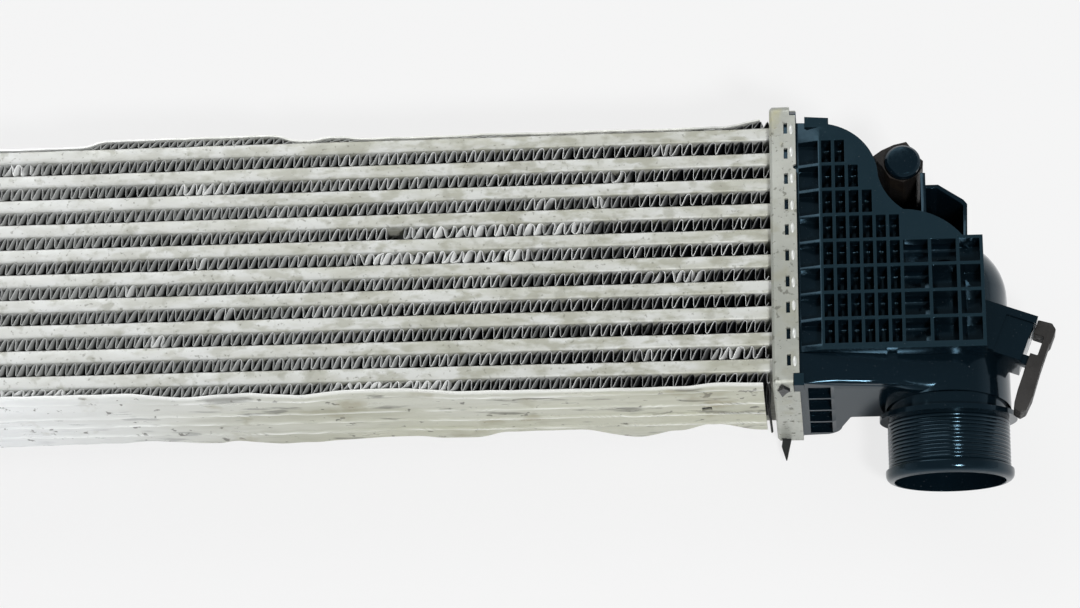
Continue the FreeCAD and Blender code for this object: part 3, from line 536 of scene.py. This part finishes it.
def nearPlate():
    # A rib is one wave of a raised cosine across z. The slot leaves out cells of the grid.
    x = np.linspace(-coreLength - plate["end"], plate["end"], plate["stations"])
    slotLeft, slotRight, slotLow, slotHigh = plate["slot"]
    x = np.sort(np.concatenate([x, [slotLeft, slotRight]]))
    first, last = np.searchsorted(x, [slotLeft, slotRight])
    low = lowerEdge(x)
    z = low[:, None] + (plate["top"] - low)[:, None] * np.linspace(1, 0, plate["levels"])[None, :]
    z += noiseAlong(x, plate["ripple"])[:, None] * smoothStep(z, *plate["rippleZone"])
    slotStart = np.argmin(np.abs(z[first] - slotHigh))
    slotEnd = np.argmin(np.abs(z[first] - slotLow))
    y = -plate["face"] + smoothPath(x, nearLean)[:, None] * smoothStep(z, *plate["leanZone"])
    y = y + noiseAlong(x, plate["belly"])[:, None] * smoothStep(z, *plate["bellyZone"])
    y = y + noiseAlong(x, plate["dents"])[:, None] * smoothStep(z, *plate["dentZone"])
    # The rolled top strip is painted lighter, partly rubbed metal and partly painted highlight.
    worn = plate["rubAndHighlight"] * smoothStep(z, *plate["rubAndHighlightZone"])
    for number, rib in enumerate(plate["ribs"]):
        middle = rib + noiseAlong(x, plate["ribSway"], number)[:, None]
        bump = np.cos(np.clip((z - middle) / plate["ribHalf"], -1, 1) * math.pi) / 2 + 0.5
        y = y - plate["ribHigh"] * bump
        # Painted highlight along each rib's crest, stronger in some places along x.
        crest = np.clip(bump * 1.6 - 0.9, 0, 1)
        rubbedAndLit = np.clip(plate["ribHighlight"] + noiseAlong(x, plate["ribHighlightNoise"], number)[:, None], 0, 1)
        worn = np.maximum(worn, rubbedAndLit * crest)
    kept = np.ones((len(x) - 1, plate["levels"] - 1), bool)
    kept[first:last, slotStart:slotEnd] = False
    return plateSolid(x, y, z, kept), np.tile(worn.ravel(), 2)


def farPlate():
    # Upright below, bent in over the crushed row above.
    x = np.linspace(-coreLength - plate["end"], plate["end"], farSheet["stations"])
    z = np.array(farSheet["levels"])
    edge = rowLow(rows["tubes"]) + farGap(x)
    share = smoothStep(z, *farSheet["bendZone"])
    y = farSheet["upright"] + (edge[:, None] - farSheet["upright"]) * share[None, :]
    loose = noiseAlong(x, farSheet["ripple"]) + noiseAlong(x, farSheet["ragged"])
    height = z[None, :] + loose[:, None] * (z > farSheet["looseAbove"])
    # The bent-in top is painted lighter, partly rubbed metal and partly painted highlight.
    worn = np.broadcast_to(farSheet["rubAndHighlight"] * smoothStep(z, *farSheet["rubAndHighlightZone"]), y.shape)
    return plateSolid(x, y, height), np.tile(worn.ravel(), 2)


def plateSolid(x, y, z, kept=None):
    # Sheet metal with its near face at y.
    across = np.broadcast_to(x[:, None], z.shape)
    return sheetSolid(np.stack([across, y, z], -1), np.stack([across, y + plate["thick"], z], -1), kept)


for index in range(rows["tubes"] + 1):
    surface, marks = finRow(index)
    makePiece("fin_row_%02d" % (index + 1), surface, materials["fin"], ("air_fin_%02d" % (index + 1),),
              sharp=50, marks=marks)
for name, node, (surface, marks) in (("near_plate_look", "near_side_plate", nearPlate()),
                                     ("far_plate_look", "far_side_plate", farPlate())):
    makePiece(name, surface, materials["plate"], (node,), sharp=40, marks=marks)
print("fins and side plates ready")


# Tubes: flat tubes with rounded noses, dented and slightly bowed along their upper noses

tubes = dict(nose=1.2, noseSteps=6, stations=240, bite=4.0, wobble=0.12, dents=(9, 600, 1.0),
             bow=(31, 650, 1.0), narrow=0.06, sink=(14, 700, 0.25), dentAbove=66, dentDeep=10,
             endRoom=6, endFade=8)


def roundedBox(halfWide, low, high, radius, steps):
    # Outline of a rounded rectangle: points (across, up), anticlockwise.
    angles = np.linspace(0, math.pi / 2, steps)
    right = halfWide - radius
    centres = [(right, low + radius), (right, high - radius), (-right, high - radius), (-right, low + radius)]
    corners = []
    for number, (across, up) in enumerate(centres):
        turned = angles + (number - 1) * math.pi / 2
        corners.append(np.stack([across + radius * np.cos(turned), up + radius * np.sin(turned)], -1))
    return np.concatenate(corners)


def tubeMiddle(index):
    return rowLow(index) + rows["gap"] + rows["tubeHeight"] / 2


def tubeShape(index):
    # Sides and nose give way by random dents, less and less downwards and not at all in the trays.
    outline = roundedBox(rows["tubeHeight"] / 2, rows["floor"], rows["top"], tubes["nose"],
                         tubes["noseSteps"])
    x = np.linspace(-coreLength - tubes["bite"], tubes["bite"], tubes["stations"])
    inCore = np.clip((-x - tubes["endRoom"]) / tubes["endFade"], 0, 1)
    inCore = inCore * np.clip((x + coreLength - tubes["endRoom"]) / tubes["endFade"], 0, 1)
    across = np.broadcast_to(outline[:, 0], (len(x), len(outline))).copy()
    up = np.broadcast_to(outline[:, 1], (len(x), len(outline))).copy()
    nearTop = np.clip((up - tubes["dentAbove"]) / tubes["dentDeep"], 0, 1)
    dent = tubes["wobble"] * (noiseAlong(x, tubes["dents"], index) + noiseAlong(x, tubes["bow"], index))
    across -= np.sign(across) * (tubes["narrow"] + np.abs(dent))[:, None] * nearTop * inCore[:, None]
    up -= (np.abs(noiseAlong(x, tubes["sink"], index)) * inCore)[:, None] * nearTop
    points = np.stack([np.broadcast_to(x[:, None], across.shape), tubeMiddle(index) + across, up], -1)
    return points.reshape(-1, 3), cappedFaces(len(x), len(outline))


for index in range(rows["tubes"]):
    makePiece("tube_look_%02d" % (index + 1), tubeShape(index), materials["tube"],
              ("tube_%02d" % (index + 1),), sharp=50)
print("tubes ready")


# Trays, gaskets and tanks from their own solids with softened edges. Bevels are (width, segments).
# The tanks' edges get shares of theirs by place: the grid of pockets reaches beyond the core's
# ends, and its heights and its nearest y tell its edges from others.

edgeShares = dict(rim=0.30, pocket=1.0, other=0.30, pocketTop=82.0, pocketFloor=71.2, reach=107.0, near=-60.0)
bevels = dict(tray=(0.45, 2), gasket=(0.25, 1), tank=(1.1, 3), bush=(0.5, 2), isolator=(0.7, 2))


def tankEdge(first, last):
    # Pocket corners and floors get the full bevel, rib tops and the rest a small one.
    low = min(first[2], last[2])
    middle = coreLength / 2
    inGrid = min(abs(first[0] + middle), abs(last[0] + middle)) < middle + edgeShares["reach"]
    inGrid = inGrid and min(first[1], last[1]) > edgeShares["near"]
    if low > edgeShares["pocketTop"]:
        return edgeShares["rim"]
    if low > edgeShares["pocketFloor"] and inGrid:
        return edgeShares["pocket"]
    return edgeShares["other"]


for side in ("right", "left"):
    tray = cadCopy(side + "_tray", side + "_header", materials["tray"])
    bevel(tray, *bevels["tray"])
    gasket = cadCopy(side + "_seal", side + "_gasket", materials["gasket"])
    bevel(gasket, *bevels["gasket"])
    tank = cadCopy(side + "_moulding", side + "_tank", materials["plastic"], tankEdge)
    bevel(tank, *bevels["tank"], weighted=True)
bush = cadCopy("worn_bush", "peg_bush", materials["rubber"])
bevel(bush, *bevels["bush"])
isolator = cadCopy("worn_isolator", "lug_isolator", materials["isolator"])
bevel(isolator, *bevels["isolator"])
print("trays and tanks ready")


# Smooth skins over the tank: duct with its dome, ringed spigot, and the shoulder that leads
# from the tray into the duct

duct = dict(x=88.5, z=41.0, radius=32.25, nearEnd=-80.0, domeStart=-18.0, wall=0.7, domeSteps=20, steps=128)
spigot = dict(root=-82.0, dip=math.radians(10), core=30.6, rings=12, ringStart=3.6, ringPitch=1.95,
              ringHigh=0.55, ringPower=0.7, stations=150, foot=2.4, land=27.9, bead=32.7, beadCorner=0.9,
              mouthStart=2.6, mouthLong=3.4, mouthDeep=3.2, beadEnd=34.2, endDrop=4.0, endCut=0.4,
              bore=28.45, steps=128)


def ductSkin():
    # A straight wall and a quarter circle, then back inside at the wall's thickness.
    turn = np.linspace(0, math.pi / 2 - 0.01, duct["domeSteps"])
    radius = duct["radius"]
    outer = [(duct["nearEnd"], radius)]
    outer += [(duct["domeStart"] + radius * math.sin(a), radius * math.cos(a)) for a in turn]
    inner = [(along - (duct["wall"] if along > duct["domeStart"] else 0), max(out - duct["wall"], 0.02))
             for along, out in reversed(outer)]
    return lathe(outer + inner, (duct["x"], 0, duct["z"]), (0, 1, 0), duct["steps"])


def spigotSkin():
    # Rings are a row of rounded ridges; the bead swells towards the mouth.
    along = np.linspace(spigot["foot"], spigot["land"], spigot["stations"])
    phase = (along - spigot["ringStart"]) / spigot["ringPitch"]
    inside = (phase > 0) & (phase < spigot["rings"])
    ridge = np.where(inside, np.abs(np.sin(math.pi * phase)) ** spigot["ringPower"], 0)
    outer = [(a, spigot["core"] + spigot["ringHigh"] * r) for a, r in zip(along, ridge)]
    turn = np.linspace(0, math.pi / 2, 6)
    land, bead, end, bore = spigot["land"], spigot["bead"], spigot["beadEnd"], spigot["bore"]
    corner, mouth = spigot["beadCorner"], land + spigot["mouthStart"]
    long, deep = spigot["mouthLong"], spigot["mouthDeep"]
    outer += [(land + corner * math.sin(a), bead - corner * math.cos(a)) for a in turn]
    outer += [(mouth + long * math.sin(a), bead - deep + deep * math.cos(a)) for a in turn]
    outer += [(end, bead - spigot["endDrop"]), (end - spigot["endCut"], bore), (spigot["foot"], bore + 0.1)]
    direction = (0, -math.cos(spigot["dip"]), -math.sin(spigot["dip"]))
    return lathe(outer, (duct["x"], spigot["root"], duct["z"]), direction, spigot["steps"])


# Pairs are the x between which a value changes. Before the near face starts there is a thin lip.
shoulder = dict(start=13.6, faceStart=31.0, end=88.5, lipSections=18, sections=70, lipHigh=4.5,
                back=-60.6, near=-77.35, nearOut=4.0, nearPair=(60, 80), top=(79.35, 73.3),
                topPair=(14, 86), low=(15.0, 31.0), lowPair=(31, 39.5), round=3.4, roundPair=(10, 34),
                swell=5.0, swellPair=(54, 84))


def shoulderSkin():
    # Each section, across y and z, runs from the grid over a rounded edge down the near face.
    faceStart = shoulder["faceStart"]
    x = np.concatenate([np.linspace(shoulder["start"], faceStart - 0.4, shoulder["lipSections"]),
                        np.linspace(faceStart, shoulder["end"], shoulder["sections"])])
    inLip = x < faceStart - 0.1
    topStart, topEnd = shoulder["top"]
    lowStart, lowEnd = shoulder["low"]
    top = topStart + (topEnd - topStart) * smoothStep(x, *shoulder["topPair"])
    low = lowStart + (lowEnd - lowStart) * smoothStep(x, *shoulder["lowPair"])
    low = np.where(inLip, top - shoulder["lipHigh"], low)
    near = shoulder["near"] - shoulder["nearOut"] * smoothStep(x, *shoulder["nearPair"])
    near = np.where(inLip, shoulder["near"], near)
    bend = shoulder["round"] * smoothStep(x, *shoulder["roundPair"])
    bend = bend + shoulder["swell"] * smoothStep(x, *shoulder["swellPair"])
    rings = []
    for share in np.linspace(0, 1, 6):
        rings.append((shoulder["back"] + (near + bend - shoulder["back"]) * share, top))
    for angle in np.linspace(0, math.pi / 2, 9)[1:]:
        rings.append((near + bend - bend * math.sin(angle), top - bend * (1 - math.cos(angle))))
    for share in np.linspace(0.1, 1, 8):
        rings.append((near, top - bend + (low - top + bend) * share))
    rings.append((np.full_like(x, shoulder["back"]), low))
    y, z = [np.stack([np.broadcast_to(ring[part], x.shape) for ring in rings], -1) for part in (0, 1)]
    points = np.stack([np.broadcast_to(x[:, None], y.shape), y, z], -1)
    return points.reshape(-1, 3), cappedFaces(len(x), len(rings))


# Rounded floors of the tank's pockets: each curves up to its far and near wall and a little
# across. The right tank has six narrow pockets in a row, the plain left one a long one instead.
# The outermost pockets are dark in the photo and keep their flat floors.

pockets = dict(first=26.0, narrow=6.8, wide=14.2, last=12.0, narrowCount=6, half=0.85, floor=71.45,
               lines=(3, 4, 5, 7, 10, 10, 10, 10), top=58.0, dark=90.0, round=2.8, steepest=0.995, curve=3.8,
               longAbove=10, longCurve=152.0, deep=0.4, dents=(5, 64, 0.06), rowShift=7, grid=(9, 33))


def pocketSpans(side):
    # Spans of x for each row of pockets.
    lines = [pockets["first"] + pockets["narrow"] * number for number in range(pockets["narrowCount"] + 1)]
    lines += [lines[-1] + pockets["wide"], lines[-1] + 2 * pockets["wide"]]
    lines += [lines[-1] + pockets["last"]]
    step = pockets["narrowCount"] if side == "left" else 1
    spans = []
    for row, count in enumerate(pockets["lines"]):
        for column in range(0, count - 1, step):
            spans.append((row, lines[column], lines[min(column + step, count - 1)]))
    return spans


def pocketFloors(side):
    # Height is the floor, plus a quarter circle towards both end walls, plus a parabola across.
    half = pockets["half"]
    across, along = pockets["grid"]
    parts = []
    for row, left, right in pocketSpans(side):
        if left > pockets["dark"]:
            continue
        low = pockets["top"] - rows["pitch"] * (row + 1) + half
        high = pockets["top"] - rows["pitch"] * row - half
        x = np.linspace(left + half, right - half, across)[:, None]
        y = np.linspace(low, high, along)[None, :]
        toWall = np.minimum(y - low, high - y)
        turn = np.clip(1 - toWall / pockets["round"], 0, pockets["steepest"])
        rise = pockets["round"] * (1 - np.sqrt(1 - turn ** 2))
        middle = (left + right) / 2
        curve = pockets["longCurve"] if right - left > pockets["longAbove"] else pockets["curve"]
        z = pockets["floor"] + rise + (x - middle) ** 2 / (2 * curve)
        z = z + noiseAlong(x + pockets["rowShift"] * row, pockets["dents"])
        front = np.stack([np.broadcast_to(x, z.shape), np.broadcast_to(y, z.shape), z], -1)
        parts.append(sheetSolid(front, front - [0, 0, pockets["deep"]]))
    return joined(parts)


# Crimps: small bumps pressed into the tray beside each slot

crimps = dict(x=11.3, halfWide=1.15, halfLong=3.0, high=1.1, top=82.0, sunk=0.2, foot=0.8, offset=0.8,
              around=20, rings=5, shine=0.6)


def crimpBumps():
    # Each bump is half an ellipsoid on a short foot. Its place beside the tube varies by row.
    turn = np.linspace(0, 2 * math.pi, crimps["around"], endpoint=False)
    rise = np.linspace(0, math.pi / 2, crimps["rings"])[:, None]
    parts = []
    for index in range(rows["tubes"]):
        middle = tubeMiddle(index) + crimps["offset"] * (index % 3 - 1)
        x = crimps["x"] + crimps["halfWide"] * np.cos(turn)[None, :] * np.cos(rise)
        y = middle + crimps["halfLong"] * np.sin(turn)[None, :] * np.cos(rise)
        z = np.broadcast_to(crimps["top"] - crimps["sunk"] + crimps["high"] * np.sin(rise), x.shape)
        points = np.stack([x, y, z], -1)
        foot = points[:1] - [0, 0, crimps["foot"]]
        points = np.concatenate([np.broadcast_to(foot.mean(1, keepdims=True), foot.shape), foot, points])
        parts.append((points, gridFaces(len(points), len(turn), wrapAlong=True)))
    return joined(parts)


for side, placed in (("right", np.array), ("left", mirrored)):
    for name, surface, look, slot in (("duct_skin", ductSkin(), "plastic", "tank_plastic"),
                                      ("spigot_skin", spigotSkin(), "plastic", "tank_plastic"),
                                      ("shoulder_skin", shoulderSkin(), "plastic", "tank_plastic"),
                                      ("pocket_floors", pocketFloors(side), "plastic", "tank_plastic"),
                                      ("crimp_bumps", crimpBumps(), "tray", "tray_alloy")):
        vertices, faces = surface
        # The crimp bumps get a painted highlight through the lighter tint; the tank skins get no marks.
        marks = np.full(len(vertices), crimps["shine"] if name == "crimp_bumps" else 0.0)
        makePiece(side + "_" + name, (placed(vertices), faces), materials[look], sharp=42,
                  marks=marks)
print("skins ready")


# Stage: pale floor and soft light. The camera sees the floor as an even white with a little shade.

stage = dict(half=6.0, drop=0.0002, color=0.90, roughness=0.9, specular=0.1, shown=0.885, shadow=0.12)
sky = dict(color=(0.95, 0.97, 1.0), horizon=0.85, zenith=0.34, dimAbove=0.55)
# Lamps: place and target in metres, size and watts.
lamps = dict(far_window=((-0.6, 1.3, 1.5), (-0.1, 0, 0), (2.0, 1.0), 21),
             key_window=((0.86, -1.1, 1.7), (0.1, 0, 0), (0.3, 0.3), 36))


def makeFloor():
    half = stage["half"]
    z = -stage["drop"]
    mesh = bpy.data.meshes.new("floor")
    corners = [(-half, -half, z), (half, -half, z), (half, half, z), (-half, half, z)]
    mesh.from_pydata(corners, [], [(0, 1, 2, 3)])
    pale = bpy.data.materials.new("pale_floor")
    pale.use_nodes = True
    nodes = pale.node_tree.nodes
    links = pale.node_tree.links
    shader = nodes["Principled BSDF"]
    shader.inputs["Base Color"].default_value = (stage["color"], stage["color"], stage["color"], 1)
    shader.inputs["Roughness"].default_value = stage["roughness"]
    shader.inputs["Specular IOR Level"].default_value = stage["specular"]
    glow = nodes.new("ShaderNodeEmission")
    glow.inputs["Color"].default_value = (stage["shown"], stage["shown"], stage["shown"], 1)
    rays = nodes.new("ShaderNodeLightPath")
    share = nodes.new("ShaderNodeMath")
    share.operation = "MULTIPLY"
    share.inputs[1].default_value = 1 - stage["shadow"]
    mix = nodes.new("ShaderNodeMixShader")
    links.new(rays.outputs["Is Camera Ray"], share.inputs[0])
    links.new(share.outputs[0], mix.inputs[0])
    links.new(shader.outputs[0], mix.inputs[1])
    links.new(glow.outputs[0], mix.inputs[2])
    links.new(mix.outputs[0], nodes["Material Output"].inputs["Surface"])
    mesh.materials.append(pale)
    floor = addObject("floor", mesh)


def makeSky():
    # Bright near the horizon and dim overhead.
    world = bpy.data.worlds.new("studio")
    bpy.context.scene.world = world
    world.use_nodes = True
    nodes = world.node_tree.nodes
    links = world.node_tree.links
    background = nodes["Background"]
    background.inputs["Color"].default_value = (*sky["color"], 1)
    direction = nodes.new("ShaderNodeTexCoord")
    split = nodes.new("ShaderNodeSeparateXYZ")
    brightness = nodes.new("ShaderNodeMapRange")
    brightness.inputs["From Max"].default_value = sky["dimAbove"]
    brightness.inputs["To Min"].default_value = sky["horizon"]
    brightness.inputs["To Max"].default_value = sky["zenith"]
    links.new(direction.outputs["Generated"], split.inputs["Vector"])
    links.new(split.outputs["Z"], brightness.inputs["Value"])
    links.new(brightness.outputs["Result"], background.inputs["Strength"])


def addLamp(name, place, target, size, power):
    lamp = bpy.data.lights.new(name, "AREA")
    lamp.shape = "RECTANGLE"
    lamp.size, lamp.size_y = size
    lamp.energy = power
    body = addObject(name, lamp)
    body.location = place
    body.rotation_euler = (Vector(target) - Vector(place)).to_track_quat("-Z", "Y").to_euler()


makeFloor()
makeSky()
for name, values in lamps.items():
    addLamp(name, *values)


# Camera, solved from the straight edges of the core. The focal length is in the picture's pixels.

shot = dict(place=(46.9345, -669.993, 1568.8113), roll=0.0175, tilt=-0.4037, yaw=0.111, focal=3162.945,
            pictureWide=1080, sensor=36.0, clip=(0.05, 50))


def makeCamera():
    cr, sr = math.cos(shot["roll"]), math.sin(shot["roll"])
    ct, st = math.cos(shot["tilt"]), math.sin(shot["tilt"])
    cy, sy = math.cos(shot["yaw"]), math.sin(shot["yaw"])
    down = np.array([[1, 0, 0], [0, -1, 0], [0, 0, -1]], float)
    turn = np.array([[cy, 0, sy], [0, 1, 0], [-sy, 0, cy]])
    pitch = np.array([[1, 0, 0], [0, ct, -st], [0, st, ct]])
    roll = np.array([[cr, -sr, 0], [sr, cr, 0], [0, 0, 1]])
    axes = roll @ pitch @ turn @ down
    camera = bpy.data.cameras.new("camera")
    camera.sensor_width = shot["sensor"]
    camera.lens = shot["focal"] / shot["pictureWide"] * camera.sensor_width
    camera.clip_start, camera.clip_end = shot["clip"]
    holder = addObject("camera", camera)
    place = toWorld(shot["place"])
    turned = Matrix((axes[0], -axes[1], -axes[2])).transposed()
    holder.matrix_world = Matrix.Translation(place) @ turned.to_4x4()
    bpy.context.scene.camera = holder


makeCamera()
bpy.context.scene.view_settings.view_transform = "Standard"
print("stage ready")
